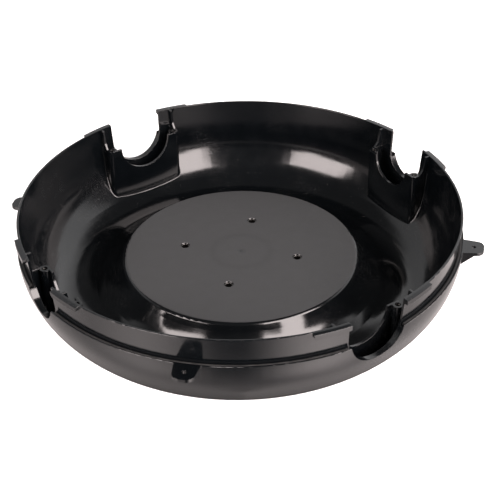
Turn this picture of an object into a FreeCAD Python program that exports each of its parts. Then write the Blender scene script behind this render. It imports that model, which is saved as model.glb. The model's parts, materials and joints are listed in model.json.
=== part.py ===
"""Lower housing of a surface cleaner: a round moulded bowl with four ports, its inserts and its rim seal.

Frame: +Z is up through the open mouth. The origin is the centre of the foot plane.
The four ports lie on +X, +Y, -X and -Y. The deck holes and the fixing lugs lie on the diagonals.
All lengths are in millimetres and all angles in degrees.
"""

import FreeCAD
import Part
import math
import os

os.makedirs("parts", exist_ok=True)

Z_AXIS = FreeCAD.Vector(0, 0, 1)
X_AXIS = FreeCAD.Vector(1, 0, 0)
ORIGIN = FreeCAD.Vector(0, 0, 0)

# Overall size
BODY_R = 224.0          # outermost radius of the round body, at the lip
HEIGHT = 98.0           # foot plane to rim top
QUARTERS = 4            # everything around the rim repeats four times

# Rim band, ledge and groove
RIM_OUTER_R = 221.5     # outer radius of the band at its top
RIM_T = 2.2             # thickness of the band at its top
RIM_ROUND = 0.6
BAND_FOOT_R = 219.3     # outer radius of the band where it meets the ledge
LEDGE_Z = HEIGHT - 27.0
GROOVE_W = 3.5
GROOVE_DEPTH = 3.0
LIP_ROUND = 0.5

# Outer skin: a wide arc below the lip, then a tighter one down to the foot
SKIN_R = 82.0
SKIN_TOP_Z = LEDGE_Z - 0.7
SKIN_SWEEP = 52.0
FOOT_ARC_R = 54.0

# Inside of the bowl: a drafted upper wall, then one arc down to the trough
WALL_FOOT_R = 216.3     # inner radius where the drafted wall ends
WALL_FOOT_Z = HEIGHT - 37.5
BOWL_ARC_R = 62.0
BOWL_SWEEP = 48.2       # degrees of the bowl arc, down to where the trough arc takes over
TROUGH_ARC_R = 38.5
TROUGH_T = 4.5          # wall thickness under the trough and the skirt

# Skirt between the deck and the trough: a straight flank that curves out into the trough
SKIRT_LEAN = 34.0       # degrees from upright
SKIRT_RUN = 5.8         # length of the straight flank
SKIRT_ARC_R = 52.0

# Deck
DECK_Z = HEIGHT - 60.0
DECK_FLAT_R = 117.3
DECK_ROUND = 5.6
DECK_T = 3.5
RECESS_ROUND = 3.0
GATE_DIMPLE_R = 6.5
GATE_DIMPLE_DEPTH = 0.4

# Deck holes and their bosses
DECK_HOLE_PCD_R = 59.0
DECK_MOUTH_R = 5.1      # wide end of the tapered mouth, in the deck face
DECK_MOUTH_DEPTH = 1.0
DECK_BOSS_R = 9.0
DECK_BOSS_H = 10.0
DECK_INSERT_R = 4.5
DECK_INSERT_BORE_R = 3.4
DECK_INSERT_L = 9.0

# Ribs below the deck
RIB_T = 2.5
RIB_H = 8.0
RIB_RING_R = 30.0
RIB_COUNT = 8
RIB_BITE = 1.5          # how far a rib runs into the wall that it joins

# Ports: one size on +X and -X, a larger one on +Y and -Y
SMALL_PORT_R = 24.5
LARGE_PORT_R = 30.0
PORT_PAIR = 2           # each size is used twice, on opposite sides
PORT_Z = HEIGHT - 21.0
PORT_DRAFT = 0.6        # how much wider each side of the opening is at the rim
BOX_FACE_X = 195.6      # inboard face of the port box, along the port's own axis
BOX_T = 2.5
PORT_REACH = 245.0      # cutters run out past the lugs
ROOT_FILLET_R = 1.2     # where the port boxes meet the inside of the bowl
TOUCH = 0.02            # points closer than this count as the same place

# Screw bosses beside the ports
BOSS_R = 5.2
BOSS_X = BOX_FACE_X + BOSS_R
BOSS_BESIDE_PORT = 9.4  # from the side of the port opening to the boss axis
BOSS_BORE_R = 2.8
BOSS_BORE_DEPTH = 14.0
PORT_INSERT_BORE_R = 1.65
PORT_INSERT_L = 8.0
PORT_INSERT_SINK = 1.0
INSERT_CHAMFER = 0.4
INSERT_GROOVE_DEPTH = 0.5

# Thin ribs on the inside of the band, in line with the side walls of the port boxes
BAND_RIB_T = 2.2
BAND_RIB_TOP = 5.0      # how far the rib stands off the band at the rim
BAND_RIB_LOW = 6.0
BAND_RIB_FLARE_H = 6.0
BAND_RIB_SETBACK = 3.0  # from the boss axis to the rib's inboard edge, level with the boss top

# Snap pads on the outside of the band
PAD_PROUD = 3.6
PAD_H = 5.4
PAD_LEAD_IN = 0.3       # drop of the sloping top, from the rim to the pad's outer face
PAD_UNDERCUT = 0.6      # how much lower the pad is where it leaves the band
PAD_CORNER = 4.0        # rounding of its two lower corners
PAD_START_DEG = 7.6
PAD_END_DEG = 16.9

# Fixing lugs
LUG_HOLE_CENTRE_R = 234.0
LUG_HOLE_R = 2.1
LUG_TIP_R = 244.0
LUG_ROOT_R = 221.0
LUG_ROOT_HALF_W = 12.5
LUG_TIP_HALF_W = 9.6
LUG_TIP_ROUND = 7.5
LUG_T = 3.2
CORBEL_REACH_R = 236.0
CORBEL_DROP = 12.5
CORBEL_INSET = 0.9

# Seal cord
SEAL_W = 2.8
SEAL_CROWN = 0.5
SEAL_BELOW_LIP = 0.4
SEAL_END_GAP_DEG = 0.4  # from the side of a port opening to the end of the cord


def vec(radius, height):
    """A point of the section plane: radius along X, height along Z."""
    return FreeCAD.Vector(radius, 0, height)


def line(start, end):
    return Part.makeLine(start, end)


def arc_about(centre, radius, start_deg, end_deg):
    """An arc in the section plane; 0 degrees points outward and 90 degrees up."""
    points = []
    for share in (0.0, 0.5, 1.0):
        angle = math.radians(start_deg + (end_deg - start_deg) * share)
        offset = vec(radius * math.cos(angle), radius * math.sin(angle))
        points.append(centre + offset)
    return Part.Arc(*points).toShape()


def round_corner(before, corner, after, radius):
    """The tangent arc that rounds a corner between two straight runs: its start, edge and end."""
    to_before = (before - corner).normalize()
    to_after = (after - corner).normalize()
    half = to_before.getAngle(to_after) / 2
    reach = radius / math.tan(half)
    start = corner + to_before * reach
    end = corner + to_after * reach
    bisector = (to_before + to_after).normalize()
    middle = corner + bisector * (radius / math.sin(half) - radius)
    return start, Part.Arc(start, middle, end).toShape(), end


def end_of(edge):
    return edge.valueAt(edge.LastParameter)


def start_of(edge):
    return edge.valueAt(edge.FirstParameter)


def spin(edges, degrees=360.0):
    """Revolve a closed section about Z."""
    wire = Part.Wire(Part.__sortEdges__(edges))
    return Part.Face(wire).revolve(ORIGIN, Z_AXIS, degrees)


def turned(shape, degrees):
    """A copy turned about Z."""
    copy = shape.copy()
    copy.rotate(ORIGIN, Z_AXIS, degrees)
    return copy


def around(shape, first_deg=0.0, count=QUARTERS):
    return [turned(shape, first_deg + 360.0 * i / count) for i in range(count)]


def at_ports(make):
    """What make(port_r) gives for the port on +X, as copies at all four ports."""
    copies = []
    for port_r, first_deg in ((SMALL_PORT_R, 0.0), (LARGE_PORT_R, 90.0)):
        for shape in make(port_r):
            copies += around(shape, first_deg, PORT_PAIR)
    return copies


def block(x0, x1, y0, y1, z0, z1):
    return Part.makeBox(x1 - x0, y1 - y0, z1 - z0, FreeCAD.Vector(x0, y0, z0))


def prism(points, sweep):
    """A closed outline of points, swept along a vector."""
    wire = Part.makePolygon(points + points[:1])
    return Part.Face(wire).extrude(sweep)


def band_inner_radius(z):
    """Radius of the drafted inner wall at a height."""
    rim_inner = RIM_OUTER_R - RIM_T
    slope = (rim_inner - WALL_FOOT_R) / (HEIGHT - WALL_FOOT_Z)
    return WALL_FOOT_R + slope * (z - WALL_FOOT_Z)


def direction(degrees):
    """Unit vector of the section plane; 0 points outward and 90 up."""
    angle = math.radians(degrees)
    return vec(math.cos(angle), math.sin(angle))


def trough_layout():
    """Where the arcs of the trough lie: the centres of the bowl, trough and skirt arcs, and the angle
    of the straight run that touches the skirt arc and the trough arc."""
    bowl_centre = vec(WALL_FOOT_R - BOWL_ARC_R, WALL_FOOT_Z)
    trough_centre = bowl_centre + direction(-BOWL_SWEEP) * (BOWL_ARC_R - TROUGH_ARC_R)
    deck_round_centre = vec(DECK_FLAT_R, DECK_Z - DECK_ROUND)
    flank_top = deck_round_centre + direction(SKIRT_LEAN) * DECK_ROUND
    flank_foot = flank_top + direction(SKIRT_LEAN - 90) * SKIRT_RUN
    skirt_centre = flank_foot + direction(SKIRT_LEAN) * SKIRT_ARC_R
    between = trough_centre - skirt_centre
    bearing = math.degrees(math.atan2(between.z, between.x))
    turn = math.degrees(math.acos((TROUGH_ARC_R - SKIRT_ARC_R) / between.Length))
    return bowl_centre, trough_centre, skirt_centre, (bearing + turn) % 360 - 180


def inner_edges():
    """Inside of the bowl, from the deck's centre out to the foot of the drafted wall."""
    bowl_centre, trough_centre, skirt_centre, run_angle = trough_layout()
    deck_end = vec(DECK_FLAT_R, DECK_Z)
    deck_round = arc_about(deck_end - vec(0, DECK_ROUND), DECK_ROUND, 90, SKIRT_LEAN)
    skirt_arc = arc_about(skirt_centre, SKIRT_ARC_R, SKIRT_LEAN - 180, run_angle)
    trough_arc = arc_about(trough_centre, TROUGH_ARC_R, run_angle, -BOWL_SWEEP)
    return [
        line(vec(0, DECK_Z), deck_end),
        deck_round,
        line(end_of(deck_round), start_of(skirt_arc)),
        skirt_arc,
        line(end_of(skirt_arc), start_of(trough_arc)),
        trough_arc,
        arc_about(bowl_centre, BOWL_ARC_R, -BOWL_SWEEP, 0),
    ]


def rim_edges(wall_foot):
    """The band, the groove and the lip, from the inner wall's foot to the top of the outer skin."""
    inner_corner = vec(RIM_OUTER_R - RIM_T, HEIGHT)
    outer_corner = vec(RIM_OUTER_R, HEIGHT)
    band_foot = vec(BAND_FOOT_R, LEDGE_Z)
    groove_in = vec(BAND_FOOT_R, LEDGE_Z - GROOVE_DEPTH)
    groove_out = groove_in + vec(GROOVE_W, 0)
    lip_in = vec(BAND_FOOT_R + GROOVE_W, LEDGE_Z)
    lip_out = vec(BODY_R, LEDGE_Z)
    skin_top = vec(BODY_R, SKIN_TOP_Z)
    in_start, in_arc, in_end = round_corner(wall_foot, inner_corner, outer_corner, RIM_ROUND)
    out_start, out_arc, out_end = round_corner(inner_corner, outer_corner, band_foot, RIM_ROUND)
    lip_start, lip_arc, lip_end = round_corner(lip_in, lip_out, skin_top, LIP_ROUND)
    return [
        line(wall_foot, in_start),
        in_arc,
        line(in_end, out_start),
        out_arc,
        line(out_end, band_foot),
        line(band_foot, groove_in),
        line(groove_in, groove_out),
        line(groove_out, lip_in),
        line(lip_in, lip_start),
        lip_arc,
        line(lip_end, skin_top),
    ]


def skin_edges():
    """The outer skin, from below the lip to the foot plane."""
    skin_centre = vec(BODY_R - SKIN_R, SKIN_TOP_Z)
    wide_arc = arc_about(skin_centre, SKIN_R, 0, -SKIN_SWEEP)
    angle = math.radians(SKIN_SWEEP)
    towards_centre = vec(-math.cos(angle), math.sin(angle))
    foot_centre = end_of(wide_arc) + towards_centre * FOOT_ARC_R
    foot_angle = math.degrees(math.asin(foot_centre.z / FOOT_ARC_R))
    tight_arc = arc_about(foot_centre, FOOT_ARC_R, -SKIN_SWEEP, -foot_angle)
    return [wide_arc, tight_arc]


def recess_slope():
    """The straight upper part of the recess wall: its foot, and the corner it makes with the deck."""
    skirt_centre = trough_layout()[2]
    foot = skirt_centre + direction(SKIRT_LEAN - 180) * (SKIRT_ARC_R + TROUGH_T)
    rise = DECK_Z - DECK_T - foot.z
    return foot, vec(foot.x - rise * math.tan(math.radians(SKIRT_LEAN)), DECK_Z - DECK_T)


def underside_edges(skin_foot):
    """The foot, the underside of the trough and the recess below the deck, back to the axis."""
    _, trough_centre, skirt_centre, run_angle = trough_layout()
    low_r = TROUGH_ARC_R + TROUGH_T
    foot_angle = -180 + math.degrees(math.asin(trough_centre.z / low_r))
    trough_arc = arc_about(trough_centre, low_r, foot_angle, run_angle)
    skirt_arc = arc_about(skirt_centre, SKIRT_ARC_R + TROUGH_T, run_angle, SKIRT_LEAN - 180)
    slope_foot, corner = recess_slope()
    centre = vec(0, DECK_Z - DECK_T)
    up_end, fillet, flat_start = round_corner(slope_foot, corner, centre, RECESS_ROUND)
    return [
        line(skin_foot, start_of(trough_arc)),
        trough_arc,
        line(end_of(trough_arc), start_of(skirt_arc)),
        skirt_arc,
        line(slope_foot, up_end),
        fillet,
        line(flat_start, centre),
    ]


def bowl():
    """The plain round bowl, before its ports, lugs, pads and ribs."""
    inner = inner_edges()
    rim = rim_edges(vec(WALL_FOOT_R, WALL_FOOT_Z))
    skin = skin_edges()
    under = underside_edges(end_of(skin[-1]))
    axis = line(vec(0, DECK_Z - DECK_T), vec(0, DECK_Z))
    return spin(inner + rim + skin + under + [axis])


def skin_envelope():
    """Everything inside the outer skin up to the rim: it trims what is added to the bowl."""
    skin = skin_edges()
    skin_foot = end_of(skin[-1])
    outline = [
        line(vec(0, 0), vec(0, HEIGHT)),
        line(vec(0, HEIGHT), vec(BAND_FOOT_R - 1, HEIGHT)),
        line(vec(BAND_FOOT_R - 1, HEIGHT), vec(BAND_FOOT_R - 1, SKIN_TOP_Z)),
        line(vec(BAND_FOOT_R - 1, SKIN_TOP_Z), vec(BODY_R, SKIN_TOP_Z)),
        line(skin_foot, vec(0, 0)),
    ]
    return spin(outline + skin)


def boss_positions(port_r):
    """The tops of the two bosses beside a port of this radius on +X."""
    offset = port_r + BOSS_BESIDE_PORT
    return [FreeCAD.Vector(BOSS_X, side * offset, PORT_Z) for side in (-1, 1)]


def port_box(port_r):
    """The pocket wall behind a port on +X: a flat face, two side walls and two corner bosses."""
    boss_y = port_r + BOSS_BESIDE_PORT
    pieces = [block(BOX_FACE_X, BOX_FACE_X + BOX_T, -boss_y, boss_y, 0, PORT_Z)]
    for side in (-1, 1):
        y_edges = sorted((side * (boss_y + BOSS_R), side * (boss_y + BOSS_R - BOX_T)))
        pieces.append(block(BOSS_X, BAND_FOOT_R, y_edges[0], y_edges[1], 0, PORT_Z))
    for centre in boss_positions(port_r):
        foot = FreeCAD.Vector(centre.x, centre.y, 0)
        pieces.append(Part.makeCylinder(BOSS_R, PORT_Z, foot, Z_AXIS))
    return [pieces[0].multiFuse(pieces[1:]).common(skin_envelope())]


def off_bowl(point):
    """Distance from a point to the inside surface of the bowl, outward of the trough's bottom."""
    radius = math.hypot(point.x, point.y)
    if point.z > WALL_FOOT_Z:
        return abs(radius - band_inner_radius(point.z))
    from_arc_centre = math.hypot(radius - WALL_FOOT_R + BOWL_ARC_R, point.z - WALL_FOOT_Z)
    return abs(from_arc_centre - BOWL_ARC_R)


def box_root_edges(shape):
    """The edges where the port boxes meet the inside of the bowl."""
    roots = []
    for edge in shape.Edges:
        points = edge.discretize(7)[1:-1]
        heights = [point.z for point in points]
        level = max(heights) - min(heights) < TOUCH
        reach = min(max(abs(point.x), abs(point.y)) for point in points)
        sideways = max(min(abs(point.x), abs(point.y)) for point in points)
        on_bowl = max(off_bowl(point) for point in points) < TOUCH
        if on_bowl and not level and reach > BOX_FACE_X - BOX_T and sideways > TOUCH:
            roots.append(edge)
    return roots


def band_ribs(port_r):
    """The thin ribs that carry the side walls of a port box on +X up to the rim."""
    flare_z = PORT_Z + BAND_RIB_FLARE_H
    outer_y = port_r + BOSS_BESIDE_PORT + BOSS_R
    middle_y = outer_y - BAND_RIB_T / 2

    def wall_x(z):
        return math.sqrt(band_inner_radius(z) ** 2 - middle_y ** 2)

    outline = [
        (wall_x(PORT_Z) + RIB_BITE, PORT_Z - RIB_BITE),
        (BOSS_X + BAND_RIB_SETBACK, PORT_Z - RIB_BITE),
        (BOSS_X + BAND_RIB_SETBACK, PORT_Z),
        (wall_x(flare_z) - BAND_RIB_LOW, flare_z),
        (wall_x(HEIGHT) - BAND_RIB_TOP, HEIGHT - RIM_ROUND),
        (wall_x(HEIGHT) + RIM_T / 2, HEIGHT - RIM_ROUND),
    ]
    ribs = []
    for low_y in (-outer_y, outer_y - BAND_RIB_T):
        points = [FreeCAD.Vector(x, low_y, z) for x, z in outline]
        ribs.append(prism(points, FreeCAD.Vector(0, BAND_RIB_T, 0)))
    return ribs


def port_cutter(port_r):
    """The U-shaped opening on +X, through the wall and the box face, a little wider at the rim."""
    start_x = BOX_FACE_X - BOX_T
    run = X_AXIS * (PORT_REACH - start_x)
    tube = Part.makeCylinder(port_r, run.Length, FreeCAD.Vector(start_x, 0, PORT_Z), X_AXIS)
    top_z = HEIGHT + RIM_T
    top_half = port_r + PORT_DRAFT * (top_z - PORT_Z) / (HEIGHT - PORT_Z)
    corners = [(-port_r, PORT_Z), (port_r, PORT_Z), (top_half, top_z), (-top_half, top_z)]
    slot = prism([FreeCAD.Vector(start_x, y, z) for y, z in corners], run)
    return [tube.fuse(slot)]


def boss_bores(port_r):
    """The bores of the two bosses of a port on +X."""
    bores = []
    for centre in boss_positions(port_r):
        bores.append(Part.makeCylinder(BOSS_BORE_R, BOSS_BORE_DEPTH, centre, -Z_AXIS))
    return bores


def pad_outline(half_length, foot_z):
    """A pad seen from outside, on +X: square at the rim, rounded at both lower corners."""
    x = BAND_FOOT_R - PAD_PROUD
    flat = [(-half_length, HEIGHT), (-half_length, foot_z), (half_length, foot_z), (half_length, HEIGHT)]
    corners = [FreeCAD.Vector(x, y, z) for y, z in flat]
    left_start, left_arc, left_end = round_corner(corners[0], corners[1], corners[2], PAD_CORNER)
    right_start, right_arc, right_end = round_corner(corners[1], corners[2], corners[3], PAD_CORNER)
    edges = [
        line(corners[0], left_start),
        left_arc,
        line(left_end, right_start),
        right_arc,
        line(right_end, corners[3]),
        line(corners[3], corners[0]),
    ]
    return Part.Face(Part.Wire(edges))


def snap_pads():
    """The two long pads on the band, one at each side of the port on +X."""
    outer_r = RIM_OUTER_R + PAD_PROUD
    low_z = HEIGHT - PAD_H
    foot_z = low_z - PAD_UNDERCUT
    section = [
        vec(BAND_FOOT_R, foot_z),
        vec(outer_r, low_z),
        vec(outer_r, HEIGHT - PAD_LEAD_IN),
        vec(RIM_OUTER_R, HEIGHT),
        vec(BAND_FOOT_R, HEIGHT),
    ]
    ring = spin([line(a, b) for a, b in zip(section, section[1:] + section[:1])])
    half_length = outer_r * math.radians(PAD_END_DEG - PAD_START_DEG) / 2
    bar = pad_outline(half_length, foot_z).extrude(X_AXIS * PAD_PROUD * 4)
    middle_deg = (PAD_START_DEG + PAD_END_DEG) / 2
    return [turned(bar, side * middle_deg).common(ring) for side in (-1, 1)]


def lug_outline(inset, z):
    """Plan outline of the lug on +X, shrunk by an inset, with a rounded tip."""
    root = LUG_ROOT_HALF_W - inset
    tip = LUG_TIP_HALF_W - inset
    tip_x = LUG_TIP_R - inset
    points = [(LUG_ROOT_R, -root), (tip_x, -tip), (tip_x, tip), (LUG_ROOT_R, root)]
    corners = [FreeCAD.Vector(x, y, z) for x, y in points]
    low_start, low_arc, low_end = round_corner(corners[0], corners[1], corners[2], LUG_TIP_ROUND)
    top_start, top_arc, top_end = round_corner(corners[1], corners[2], corners[3], LUG_TIP_ROUND)
    edges = [
        line(corners[0], low_start),
        low_arc,
        line(low_end, top_start),
        top_arc,
        line(top_end, corners[3]),
        line(corners[3], corners[0]),
    ]
    return Part.Face(Part.Wire(edges))


def lug():
    """The fixing lug on +X: a flat plate on a wedge-shaped corbel."""
    plate = lug_outline(0, LEDGE_Z - LUG_T).extrude(Z_AXIS * LUG_T)
    foot_z = LEDGE_Z - LUG_T - CORBEL_DROP
    column = lug_outline(CORBEL_INSET, foot_z).extrude(Z_AXIS * CORBEL_DROP)
    wedge = prism(
        [
            FreeCAD.Vector(LUG_ROOT_R - 6, -LUG_ROOT_HALF_W, foot_z),
            FreeCAD.Vector(LUG_ROOT_R, -LUG_ROOT_HALF_W, foot_z),
            FreeCAD.Vector(CORBEL_REACH_R, -LUG_ROOT_HALF_W, LEDGE_Z - LUG_T),
            FreeCAD.Vector(LUG_ROOT_R - 6, -LUG_ROOT_HALF_W, LEDGE_Z - LUG_T),
        ],
        FreeCAD.Vector(0, 2 * LUG_ROOT_HALF_W, 0),
    )
    return plate.fuse(column.common(wedge))


def lug_hole():
    top = FreeCAD.Vector(LUG_HOLE_CENTRE_R, 0, LEDGE_Z + 1)
    return Part.makeCylinder(LUG_HOLE_R, CORBEL_DROP + LUG_T + 2, top, -Z_AXIS)


def groove_ring():
    """The ring of the seal groove, cut again after the lugs are joined on."""
    floor_z = LEDGE_Z - GROOVE_DEPTH
    foot = FreeCAD.Vector(0, 0, floor_z)
    outer = Part.makeCylinder(BAND_FOOT_R + GROOVE_W, GROOVE_DEPTH + 1, foot)
    return outer.cut(Part.makeCylinder(BAND_FOOT_R, GROOVE_DEPTH + 1, foot))


def deck_underside():
    """Ring, radial ribs and hole bosses below the deck."""
    top = DECK_Z - DECK_T + RIB_BITE / 2
    low = DECK_Z - DECK_T - RIB_H
    ring_foot = FreeCAD.Vector(0, 0, low)
    ring = Part.makeCylinder(RIB_RING_R + RIB_T / 2, top - low, ring_foot)
    ring = ring.cut(Part.makeCylinder(RIB_RING_R - RIB_T / 2, top - low, ring_foot))
    slope_foot, corner = recess_slope()
    lean = (slope_foot.x - corner.x) / (corner.z - slope_foot.z)
    rib = prism(
        [
            FreeCAD.Vector(RIB_RING_R, -RIB_T / 2, low),
            FreeCAD.Vector(corner.x + lean * (corner.z - low) + RIB_BITE, -RIB_T / 2, low),
            FreeCAD.Vector(corner.x + lean * (corner.z - top) + RIB_BITE, -RIB_T / 2, top),
            FreeCAD.Vector(RIB_RING_R, -RIB_T / 2, top),
        ],
        FreeCAD.Vector(0, RIB_T, 0),
    )
    boss_foot = FreeCAD.Vector(DECK_HOLE_PCD_R, 0, DECK_Z - DECK_T - DECK_BOSS_H)
    boss = Part.makeCylinder(DECK_BOSS_R, top - boss_foot.z, boss_foot)
    pieces = around(rib, 0, RIB_COUNT) + around(boss, 45)
    return ring.multiFuse(pieces)


def deck_cutters():
    """The four holes of the deck, each with a tapered mouth."""
    top = FreeCAD.Vector(DECK_HOLE_PCD_R, 0, DECK_Z)
    mouth = Part.makeCone(DECK_MOUTH_R, DECK_INSERT_R, DECK_MOUTH_DEPTH, top, -Z_AXIS)
    bore = Part.makeCylinder(DECK_INSERT_R, DECK_T + DECK_BOSS_H, top, -Z_AXIS)
    return around(mouth.fuse(bore), 45)


def gate_mark():
    """The shallow round dimple left by the moulding gate in the middle of the deck."""
    ball_r = (GATE_DIMPLE_R ** 2 + GATE_DIMPLE_DEPTH ** 2) / (2 * GATE_DIMPLE_DEPTH)
    return Part.makeSphere(ball_r, FreeCAD.Vector(0, 0, DECK_Z + ball_r - GATE_DIMPLE_DEPTH))


def housing_shell():
    """The whole moulding: the bowl, what is joined to it, then every opening cut out of it."""
    boxed = bowl().multiFuse(at_ports(port_box)).removeSplitter()
    boxed = boxed.makeFillet(ROOT_FILLET_R, box_root_edges(boxed))
    added = at_ports(band_ribs)
    for pad in snap_pads():
        added += around(pad)
    added += around(lug(), 45)
    added.append(deck_underside())
    cutters = at_ports(port_cutter) + at_ports(boss_bores)
    cutters += around(lug_hole(), 45)
    cutters += deck_cutters()
    cutters += [groove_ring(), gate_mark()]
    return boxed.multiFuse(added).cut(cutters)


def threaded_insert(outer_r, bore_r, length, top):
    """A round insert below a point: chamfered bore and one retaining groove around its middle."""
    body = Part.makeCylinder(outer_r, length, top, -Z_AXIS)
    bore = Part.makeCylinder(bore_r, length, top, -Z_AXIS)
    mouth = Part.makeCone(bore_r + INSERT_CHAMFER, bore_r, INSERT_CHAMFER, top, -Z_AXIS)
    groove_top = top - Z_AXIS * (length * 0.4)
    groove = Part.makeCylinder(outer_r, length * 0.2, groove_top, -Z_AXIS)
    core = Part.makeCylinder(outer_r - INSERT_GROOVE_DEPTH, length * 0.2, groove_top, -Z_AXIS)
    return body.cut([bore, mouth, groove.cut(core)])


def deck_inserts():
    """Name and shape of the four inserts in the deck."""
    top = FreeCAD.Vector(DECK_HOLE_PCD_R, 0, DECK_Z - DECK_MOUTH_DEPTH)
    insert = threaded_insert(DECK_INSERT_R, DECK_INSERT_BORE_R, DECK_INSERT_L, top)
    return {f"deck_insert_{i + 1}": s for i, s in enumerate(around(insert, 45))}


def port_inserts():
    """Name and shape of the eight inserts in the screw bosses, counted round from +X."""
    found = {}
    for port in range(QUARTERS):
        port_r = LARGE_PORT_R if port % 2 else SMALL_PORT_R
        for letter, centre in zip("ab", boss_positions(port_r)):
            top = centre - Z_AXIS * PORT_INSERT_SINK
            insert = threaded_insert(BOSS_BORE_R, PORT_INSERT_BORE_R, PORT_INSERT_L, top)
            found[f"port_insert_{port + 1}{letter}"] = turned(insert, 90.0 * port)
    return found


def seal_end_deg(port_r):
    """Angle from a port's axis to the end of the cord beside it."""
    return math.degrees(math.asin(port_r / BAND_FOOT_R)) + SEAL_END_GAP_DEG


def rim_seals():
    """Name and shape of the four lengths of cord, one between each pair of ports."""
    middle = BAND_FOOT_R + GROOVE_W / 2
    floor_z = LEDGE_Z - GROOVE_DEPTH
    shoulder_z = LEDGE_Z - SEAL_BELOW_LIP - SEAL_CROWN
    low_in = vec(middle - SEAL_W / 2, floor_z)
    low_out = vec(middle + SEAL_W / 2, floor_z)
    high_in = vec(middle - SEAL_W / 2, shoulder_z)
    high_out = vec(middle + SEAL_W / 2, shoulder_z)
    crown = vec(middle, shoulder_z + SEAL_CROWN)
    section = [
        line(low_in, low_out),
        line(low_out, high_out),
        Part.Arc(high_out, crown, high_in).toShape(),
        line(high_in, low_in),
    ]
    small_end = seal_end_deg(SMALL_PORT_R)
    large_end = seal_end_deg(LARGE_PORT_R)
    cord = spin(section, 90.0 - small_end - large_end)
    found = {}
    for quarter in range(QUARTERS):
        start = large_end if quarter % 2 else small_end
        found[f"rim_seal_{quarter + 1}"] = turned(cord, 90.0 * quarter + start)
    return found


def main():
    nodes = {"housing_shell": housing_shell()}
    nodes.update(deck_inserts())
    nodes.update(port_inserts())
    nodes.update(rim_seals())
    for name, shape in nodes.items():
        shape.exportStep(f"parts/{name}.step")
        box = shape.BoundBox
        print(f"{name}: {len(shape.Solids)} solid, valid {shape.isValid()}, "
              f"volume {shape.Volume / 1000:.2f} cm3, "
              f"{box.XLength:.1f} x {box.YLength:.1f} x {box.ZLength:.1f}")


main()
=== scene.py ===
"""Looks for the lower housing of a surface cleaner: moulded black plastic, seal cord, inserts, studio."""

import bpy
import json
import math
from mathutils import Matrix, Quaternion, Vector


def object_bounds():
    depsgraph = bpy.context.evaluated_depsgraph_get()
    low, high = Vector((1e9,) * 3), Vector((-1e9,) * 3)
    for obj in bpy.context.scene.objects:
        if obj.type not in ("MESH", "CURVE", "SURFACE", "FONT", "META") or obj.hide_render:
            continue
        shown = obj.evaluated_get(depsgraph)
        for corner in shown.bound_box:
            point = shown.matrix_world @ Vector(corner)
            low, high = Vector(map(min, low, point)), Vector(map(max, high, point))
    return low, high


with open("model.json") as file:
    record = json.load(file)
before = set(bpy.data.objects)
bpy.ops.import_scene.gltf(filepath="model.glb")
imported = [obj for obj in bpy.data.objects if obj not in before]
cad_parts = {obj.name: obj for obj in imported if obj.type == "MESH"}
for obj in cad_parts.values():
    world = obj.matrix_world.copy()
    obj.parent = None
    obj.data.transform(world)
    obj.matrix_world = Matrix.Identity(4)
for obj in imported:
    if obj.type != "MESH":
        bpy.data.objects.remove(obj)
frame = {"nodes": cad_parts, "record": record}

CAD_LOW, CAD_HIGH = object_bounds()
MM = 0.001

# Places worked out from the frame
RECORD = frame["record"]
MOUNTS = {mount["name"]: mount for mount in RECORD["mounts"]}
RIM_Z = CAD_HIGH.z
DECK_Z = MOUNTS["deck_top"]["pos_m"][2]

# Features of the deck that only its surface shows
DECK_EDGE_R = 120.5 * MM    # the satin finish ends here, over the width of its fade
DECK_EDGE_FADE = 1.5 * MM
SINK_RING_R = 30.0 * MM
SINK_WIDTH = 7.0 * MM

# Camera: where it stands and how it looks at the object
CAMERA_PLACE = Vector((-0.5208, -0.8144, RIM_Z + 0.6023))
CAMERA_FORWARD = Vector((0.44684, 0.69338, -0.56537))
CAMERA_ROLL_DEG = -1.093
SENSOR_MM = 36.0
LENS_MM = 81.41

# Surfaces: the darkest and lightest tone, the lowest and highest roughness
POLISHED_TONES = (0.0016, 0.0026)
POLISHED_WARMTH = -0.25
POLISHED_ROUGHNESS = (0.11, 0.16)
SATIN_TONES = (0.023, 0.034)
SATIN_WARMTH = -0.03
SATIN_ROUGHNESS = (0.52, 0.60)
# Painted shade of the sink ring: a darker tint laid on the deck colour, besides the ring's bump
SINK_SHADE_TONE = 0.004
SINK_SHADE_STRENGTH = 0.12
SCUFF_TONE = 0.05
SCUFF_ROUGHNESS = 0.18      # what a scratch adds
DUST_TONE = 0.22
DUST_WARMTH = 0.05
DUST_ROUGHNESS = 0.8
WEAR_STRENGTH = 0.5         # how much of their own tone scratches and dust show
PLASTIC_IOR = 1.5
RUBBER_TONES = (0.010, 0.024)
RUBBER_ROUGHNESS = (0.5, 0.7)
RUBBER_LINE_SPACING = 0.5 * MM
RUBBER_IOR = 1.45
METAL_CLEAN = (0.09, 0.03)      # tone and warmth
METAL_TARNISHED = (0.04, 0.08)
METAL_ROUGHNESS = (0.26, 0.42)
NOISE_RANGE = (0.3, 0.7)    # most values of a noise lie between these

# How bright the floor looks in reflections. These tones are given, no light makes them.
# Directions are measured from the camera's side, positive to its right.
FLOOR_LEFT = 0.80           # reflections that run to the camera's left
FLOOR_LEFT_DEG = (-80, -10)  # the left tone is full at the first direction and gone at the second
FLOOR_RIGHT = 1.1           # reflections that run to its right
FLOOR_RIGHT_DEG = (0, 80)   # the right tone sets in at the first direction and is full at the second
FLOOR_NEAR = 0.55           # reflections that run to the camera: beside the object, and further out
FLOOR_FAR = 0.05
FLOOR_NEAR_R = 0.23
FLOOR_FAR_R = 0.33
FLOOR_UNDER = 0.06          # what is left of the tone below the belly
UNDER_R = 0.185
CLEAR_R = 0.235
LEFT_GLOW = 1.35            # extra tone roughly towards each softbox, and its direction
LEFT_GLOW_DEG = -50
RIGHT_GLOW = 2.7
RIGHT_GLOW_DEG = 42
GLOW_HALF_WIDTH_DEG = 43
GLOW_SLANT = (0.35, 0.75)   # level share of a reflection's direction: no extra tone, all of it

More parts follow.
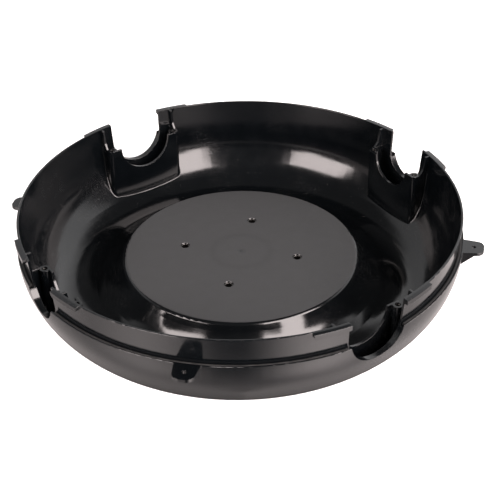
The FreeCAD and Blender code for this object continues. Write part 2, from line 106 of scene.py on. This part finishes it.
# Studio
FLOOR_SIZE = 14.0
FLOOR_GAP = 0.1 * MM        # air between the foot and the floor
FLOOR_TONES = (0.86, 0.90)
FLOOR_SHINE = 0.6           # what the floor adds of its own, so that it shows pure white
BACKDROP_LEFT = 0.6
BACKDROP_RIGHT = 1.4
BACKDROP_TURN = (-0.25, 0.5)    # share of a direction to the camera's right: left tone, right tone
BACKDROP_AWAY = (-0.05, 0.25)   # share away from the camera: no backdrop, all of it
BACKDROP_FADE_DEG = (38, 48)    # the backdrop fades out between these elevations
ROOM_LEVEL = 0.12
ROOM_TINT = (1.0, 0.99, 1.0, 1.0)
SOFTBOX_TINT = (1.08, 0.97, 0.95, 1.0)
CAMERA_SIDE = Vector((CAMERA_PLACE.x, CAMERA_PLACE.y, 0)).normalized()
CAMERA_RIGHT = CAMERA_SIDE.cross(Vector((0, 0, -1)))


class Tree:
    """A short way to write a node tree. Inputs are values or the output sockets of other nodes."""

    def __init__(self, node_tree):
        self.nodes = node_tree.nodes
        self.links = node_tree.links
        self.nodes.clear()

    def add(self, kind, inputs=None, **settings):
        """A new node with its settings and inputs; inputs are keyed by name or by number."""
        node = self.nodes.new(kind)
        for name, value in settings.items():
            setattr(node, name, value)
        for key, value in (inputs or {}).items():
            self.feed(node.inputs[key], value)
        return node

    def feed(self, socket, value):
        if isinstance(value, bpy.types.NodeSocket):
            self.links.new(value, socket)
        else:
            socket.default_value = value

    def math(self, operation, a, b=0.0):
        return self.add("ShaderNodeMath", {0: a, 1: b}, operation=operation).outputs[0]

    def vector(self, operation, a, b=(0, 0, 0)):
        node = self.add("ShaderNodeVectorMath", {0: a, 1: b}, operation=operation)
        return node.outputs["Value"] if operation in ("LENGTH", "DOT_PRODUCT") else node.outputs[0]

    def step(self, value, low, high, start=0.0, end=1.0):
        """A smooth step: start below low, end above high."""
        inputs = {"Value": value, "From Min": low, "From Max": high, "To Min": start, "To Max": end}
        node = self.add("ShaderNodeMapRange", inputs, interpolation_type="SMOOTHSTEP")
        return node.outputs[0]

    def span(self, value, low, high, start, end):
        """A straight ramp from start to end, clamped."""
        inputs = {"Value": value, "From Min": low, "From Max": high, "To Min": start, "To Max": end}
        return self.add("ShaderNodeMapRange", inputs).outputs[0]

    def noise(self, place, grain, detail=2.0, roughness=0.5):
        """Noise whose features are about one grain across, in metres."""
        inputs = {"Vector": place, "Scale": 1.0 / grain, "Detail": detail, "Roughness": roughness}
        return self.add("ShaderNodeTexNoise", inputs).outputs[0]

    def cells(self, place, grain):
        """Distance to the nearest of scattered points about one grain apart."""
        inputs = {"Vector": place, "Scale": 1.0 / grain}
        return self.add("ShaderNodeTexVoronoi", inputs).outputs["Distance"]

    def blend(self, factor, a, b):
        """From number a to number b."""
        inputs = {0: factor, 2: a, 3: b}
        return self.add("ShaderNodeMix", inputs, data_type="FLOAT").outputs[0]

    def tint(self, factor, a, b):
        """From colour a to colour b."""
        inputs = {0: factor, 6: a, 7: b}
        return self.add("ShaderNodeMix", inputs, data_type="RGBA").outputs[2]

    def greys(self, factor, tones, warm=0.0):
        """From the first grey to the second."""
        return self.tint(factor, grey(tones[0], warm), grey(tones[1], warm))

    def bump(self, height, distance, normal=None):
        """Height is 0 to 1; distance is how many metres 1 stands for."""
        inputs = {"Height": height, "Distance": distance, "Strength": 1.0}
        if normal is not None:
            inputs["Normal"] = normal
        return self.add("ShaderNodeBump", inputs).outputs[0]


def grey(value, warm=0.0):
    """A near-neutral colour; warm above 0 leans to red, below 0 to blue."""
    return (value * (1 + warm), value, value * (1 - warm), 1.0)


def new_material(name):
    material = bpy.data.materials.new(name)
    material.use_nodes = True
    return material, Tree(material.node_tree)


def finish_material(tree, settings):
    """Ends a tree with a Principled surface."""
    shader = tree.add("ShaderNodeBsdfPrincipled", settings)
    tree.add("ShaderNodeOutputMaterial", {"Surface": shader.outputs[0]})


def scratches(tree, place, turn_deg, spacing, width):
    """1 on thin wandering lines that run across the part in one direction, 0 elsewhere."""
    bent = tree.add("ShaderNodeMapping", {"Vector": place, "Rotation": (0, 0, math.radians(turn_deg))})
    stretched = tree.add("ShaderNodeMapping", {"Vector": bent.outputs[0], "Scale": (1, 1 / 25, 1)})
    lines = tree.noise(stretched.outputs[0], spacing, detail=1.0)
    off_line = tree.math("ABSOLUTE", tree.math("SUBTRACT", lines, 0.5))
    return tree.step(off_line, 0.0, width, 1.0, 0.0)


def housing_plastic():
    """Black moulded plastic: polished walls, a satin deck with one faint sink ring (a bump plus painted
    shade), fine wear and dust.
    """
    material, tree = new_material("housing_plastic")
    place = tree.add("ShaderNodeTexCoord").outputs["Object"]
    axes = tree.add("ShaderNodeSeparateXYZ", {0: place})
    flat_place = tree.vector("MULTIPLY", place, (1, 1, 0))
    radius = tree.vector("LENGTH", flat_place)
    facing = tree.add("ShaderNodeSeparateXYZ", {0: tree.add("ShaderNodeNewGeometry").outputs["Normal"]})
    upward = facing.outputs["Z"]

    inside_deck = tree.step(radius, DECK_EDGE_R, DECK_EDGE_R + DECK_EDGE_FADE, 1.0, 0.0)
    on_deck = tree.step(axes.outputs["Z"], low=DECK_Z - 0.5 * MM, high=DECK_Z - 0.2 * MM)
    deck = tree.math("MULTIPLY", inside_deck, on_deck)

    grain = tree.noise(place, grain=0.45 * MM, detail=3.0, roughness=0.6)
    mottle = tree.noise(place, grain=14 * MM, detail=3.0)
    cloud = tree.noise(place, grain=70 * MM, detail=2.0)
    wave = tree.noise(place, grain=26 * MM, detail=0.0)
    fine_scratches = tree.math(
        "MAXIMUM",
        scratches(tree, place, turn_deg=24, spacing=1.6 * MM, width=0.010),
        scratches(tree, place, turn_deg=-58, spacing=2.1 * MM, width=0.008),
    )
    worn = tree.step(cloud, low=0.50, high=0.68)
    scuff = tree.math("MULTIPLY", fine_scratches, worn)

    specks = tree.step(tree.cells(place, grain=2.6 * MM), low=0.05, high=0.10, start=1.0, end=0.0)
    dusty = tree.step(mottle, low=0.48, high=0.70)
    settled = tree.step(upward, low=0.3, high=0.9)
    dust = tree.math("MULTIPLY", tree.math("MULTIPLY", specks, dusty), settled)

    base = tree.greys(mottle, POLISHED_TONES, POLISHED_WARMTH)
    base = tree.tint(deck, base, tree.greys(grain, SATIN_TONES, SATIN_WARMTH))
    # Painted shade: the deck colour is darkened a little along the sink ring, on top of the ring's bump
    # below
    ring_gap = tree.math("ABSOLUTE", tree.math("SUBTRACT", radius, SINK_RING_R))
    sink = tree.step(ring_gap, 0.0, SINK_WIDTH)
    faint = tree.math("MULTIPLY", deck, tree.span(sink, 0.0, 1.0, SINK_SHADE_STRENGTH, 0.0))
    base = tree.tint(faint, base, grey(SINK_SHADE_TONE))
    base = tree.tint(tree.math("MULTIPLY", scuff, WEAR_STRENGTH), base, grey(SCUFF_TONE))
    base = tree.tint(tree.math("MULTIPLY", dust, WEAR_STRENGTH), base, grey(DUST_TONE, DUST_WARMTH))

    polished = tree.span(mottle, *NOISE_RANGE, *POLISHED_ROUGHNESS)
    polished = tree.math("ADD", polished, tree.math("MULTIPLY", scuff, SCUFF_ROUGHNESS))
    satin = tree.span(mottle, *NOISE_RANGE, *SATIN_ROUGHNESS)
    rough = tree.blend(deck, polished, satin)
    rough = tree.blend(dust, rough, DUST_ROUGHNESS)

    drawn_out = tree.vector("MULTIPLY", place, (1, 1, 0.06))
    streaks = tree.noise(drawn_out, grain=3.0 * MM, detail=3.0)
    edge = tree.add("ShaderNodeBevel", {"Radius": 0.7 * MM}, samples=4).outputs[0]
    normal = tree.bump(wave, distance=0.05 * MM, normal=edge)
    normal = tree.bump(tree.blend(deck, streaks, 0.5), distance=0.012 * MM, normal=normal)
    normal = tree.bump(tree.blend(deck, 1.0, sink), distance=0.10 * MM, normal=normal)
    normal = tree.bump(tree.math("MULTIPLY", grain, deck), distance=0.03 * MM, normal=normal)
    normal = tree.bump(scuff, distance=-0.004 * MM, normal=normal)
    finish_material(tree, {"Base Color": base, "Roughness": rough, "IOR": PLASTIC_IOR, "Normal": normal})
    return material


def seal_rubber():
    """Matt black rubber cord with faint extrusion lines and a powdery bloom."""
    material, tree = new_material("seal_rubber")
    place = tree.add("ShaderNodeTexCoord").outputs["Object"]
    radius = tree.vector("LENGTH", tree.vector("MULTIPLY", place, (1, 1, 0)))
    bloom = tree.noise(place, grain=6 * MM, detail=4.0)
    pores = tree.noise(place, grain=0.3 * MM, detail=2.0)
    lines = tree.math("SINE", tree.math("MULTIPLY", radius, 2 * math.pi / RUBBER_LINE_SPACING))
    base = tree.greys(tree.step(bloom, low=0.35, high=0.75), RUBBER_TONES)
    normal = tree.bump(lines, distance=0.01 * MM)
    normal = tree.bump(pores, distance=0.03 * MM, normal=normal)
    rough = tree.span(bloom, *NOISE_RANGE, *RUBBER_ROUGHNESS)
    finish_material(tree, {"Base Color": base, "Roughness": rough, "IOR": RUBBER_IOR, "Normal": normal})
    return material


def insert_metal():
    """Turned steel: fine rings round each bore, slightly tarnished."""
    material, tree = new_material("insert_metal")
    place = tree.add("ShaderNodeTexCoord").outputs["Object"]
    tarnish = tree.noise(place, grain=2.0 * MM, detail=4.0)
    turned = tree.noise(tree.vector("MULTIPLY", place, (1, 1, 30)), grain=1.0 * MM, detail=2.0)
    base = tree.tint(tree.step(tarnish, low=0.4, high=0.7), grey(*METAL_CLEAN), grey(*METAL_TARNISHED))
    rough = tree.span(turned, *NOISE_RANGE, *METAL_ROUGHNESS)
    normal = tree.bump(turned, distance=0.01 * MM)
    settings = {"Base Color": base, "Metallic": 1.0, "Roughness": rough, "Normal": normal}
    finish_material(tree, settings)
    return material


def floor_paint():
    """Pale matt floor with a faint grain.

    Reflections don't see its lit surface but a given tone, in place of a curved white sweep:
    brighter roughly towards each softbox and dark below the belly.
    """
    material, tree = new_material("floor_paint")
    place = tree.add("ShaderNodeTexCoord").outputs["Object"]
    speckle = tree.noise(place, grain=1.5 * MM, detail=2.0)
    base = tree.greys(speckle, FLOOR_TONES)
    matt = tree.add("ShaderNodeBsdfDiffuse", {"Color": base})
    shine = tree.add("ShaderNodeEmission", {"Color": grey(1.0), "Strength": FLOOR_SHINE})
    seen = tree.add("ShaderNodeAddShader", {0: matt.outputs[0], 1: shine.outputs[0]})

    back = tree.add("ShaderNodeNewGeometry").outputs["Incoming"]
    across = tree.vector("DOT_PRODUCT", back, tuple(-CAMERA_RIGHT))
    nearer = tree.vector("DOT_PRODUCT", back, tuple(-CAMERA_SIDE))
    turn = tree.math("ARCTAN2", across, nearer)
    radius = tree.vector("LENGTH", tree.vector("MULTIPLY", place, (1, 1, 0)))
    middle = tree.span(radius, FLOOR_NEAR_R, FLOOR_FAR_R, FLOOR_NEAR, FLOOR_FAR)
    left = tree.step(turn, *map(math.radians, FLOOR_LEFT_DEG), 1.0, 0.0)
    right = tree.step(turn, *map(math.radians, FLOOR_RIGHT_DEG))
    level = tree.blend(left, middle, FLOOR_LEFT)
    level = tree.blend(right, level, FLOOR_RIGHT)
    flatness = tree.vector("LENGTH", tree.vector("MULTIPLY", back, (1, 1, 0)))
    slant = tree.step(flatness, *GLOW_SLANT)
    for centre_deg, glow in ((LEFT_GLOW_DEG, LEFT_GLOW), (RIGHT_GLOW_DEG, RIGHT_GLOW)):
        off_centre = tree.math("ABSOLUTE", tree.math("SUBTRACT", turn, math.radians(centre_deg)))
        bump = tree.step(off_centre, 0.0, math.radians(GLOW_HALF_WIDTH_DEG), glow, 0.0)
        level = tree.math("ADD", level, tree.math("MULTIPLY", bump, slant))
    level = tree.math("MULTIPLY", level, tree.step(radius, UNDER_R, CLEAR_R, FLOOR_UNDER, 1.0))
    mirrored = tree.add("ShaderNodeEmission", {"Color": SOFTBOX_TINT, "Strength": level})
    glossy = tree.add("ShaderNodeLightPath").outputs["Is Glossy Ray"]
    mixed = tree.add("ShaderNodeMixShader", {0: glossy, 1: seen.outputs[0], 2: mirrored.outputs[0]})
    tree.add("ShaderNodeOutputMaterial", {"Surface": mixed.outputs[0]})
    return material


def dress_nodes():
    """Gives every CAD node the material of its slot."""
    makers = {"housing_plastic": housing_plastic, "seal_rubber": seal_rubber, "insert_metal": insert_metal}
    finishes = {slot: make() for slot, make in makers.items()}
    slots = {part["node"]: part["material_slot"] for part in RECORD["subparts"]}
    for name, node in frame["nodes"].items():
        node.data.materials.clear()
        node.data.materials.append(finishes[slots[name]])


def make_floor():
    half = FLOOR_SIZE / 2
    mesh = bpy.data.meshes.new("floor")
    corners = [(-half, -half, 0), (half, -half, 0), (half, half, 0), (-half, half, 0)]
    mesh.from_pydata(corners, [], [(0, 1, 2, 3)])
    mesh.materials.append(floor_paint())
    floor = bpy.data.objects.new("floor", mesh)
    floor.location.z = CAD_LOW.z - FLOOR_GAP
    bpy.context.scene.collection.objects.link(floor)


def softbox(name, turn_deg, distance, half_angle_deg, low_deg, high_deg, radiance):
    """A large upright soft light, placed by what the object sees of it.

    turn_deg is measured from the camera's side, positive to its right; the light spans the two half
    angles beside it and the two elevations above the rim.
    """
    light = bpy.data.lights.new(name, "AREA")
    light.shape = "RECTANGLE"
    light.size = 2 * distance * math.tan(math.radians(half_angle_deg))
    low = distance * math.tan(math.radians(low_deg))
    high = distance * math.tan(math.radians(high_deg))
    light.size_y = high - low
    light.energy = radiance * math.pi * light.size * light.size_y
    light.color = SOFTBOX_TINT[:3]
    lamp = bpy.data.objects.new(name, light)
    side = CAMERA_SIDE.copy()
    side.rotate(Quaternion((0, 0, 1), math.radians(turn_deg)))
    lamp.location = side * distance + Vector((0, 0, RIM_Z + (low + high) / 2))
    lamp.rotation_mode = "QUATERNION"
    lamp.rotation_quaternion = (-side).to_track_quat("-Z", "Y")
    bpy.context.scene.collection.objects.link(lamp)


def make_lights():
    softbox(
        "left_softbox", turn_deg=-52.6, distance=0.92, half_angle_deg=18.4,
        low_deg=3, high_deg=40.2, radiance=12,
    )
    softbox(
        "right_softbox", turn_deg=46.6, distance=1.44, half_angle_deg=27.7,
        low_deg=2, high_deg=51.2, radiance=13,
    )


def make_world():
    """A dim room with a low pale backdrop across the far side, brighter to the right."""
    world = bpy.data.worlds.new("studio")
    world.use_nodes = True
    bpy.context.scene.world = world
    tree = Tree(world.node_tree)
    direction = tree.add("ShaderNodeTexCoord").outputs["Generated"]
    up = tree.add("ShaderNodeSeparateXYZ", {0: direction}).outputs["Z"]
    away = tree.vector("DOT_PRODUCT", direction, tuple(-CAMERA_SIDE))
    across = tree.vector("DOT_PRODUCT", direction, tuple(CAMERA_RIGHT))
    fade = [math.sin(math.radians(elevation)) for elevation in BACKDROP_FADE_DEG]
    low = tree.step(up, *fade, 1.0, 0.0)
    far = tree.step(away, *BACKDROP_AWAY)
    bright = tree.step(across, *BACKDROP_TURN, BACKDROP_LEFT, BACKDROP_RIGHT)
    level = tree.math("ADD", tree.math("MULTIPLY", tree.math("MULTIPLY", low, far), bright), ROOM_LEVEL)
    shade = tree.add("ShaderNodeBackground", {"Color": ROOM_TINT, "Strength": level})
    tree.add("ShaderNodeOutputWorld", {"Surface": shade.outputs[0]})


def make_camera():
    camera = bpy.data.cameras.new("camera")
    camera.sensor_width = SENSOR_MM
    camera.lens = LENS_MM
    camera.clip_end = 50
    holder = bpy.data.objects.new("camera", camera)
    holder.location = CAMERA_PLACE
    holder.rotation_mode = "QUATERNION"
    level = CAMERA_FORWARD.to_track_quat("-Z", "Y")
    holder.rotation_quaternion = level @ Quaternion((0, 0, 1), math.radians(CAMERA_ROLL_DEG))
    bpy.context.scene.collection.objects.link(holder)
    bpy.context.scene.camera = holder


dress_nodes()
make_floor()
make_lights()
make_world()
make_camera()
bpy.context.scene.view_settings.view_transform = "Standard"
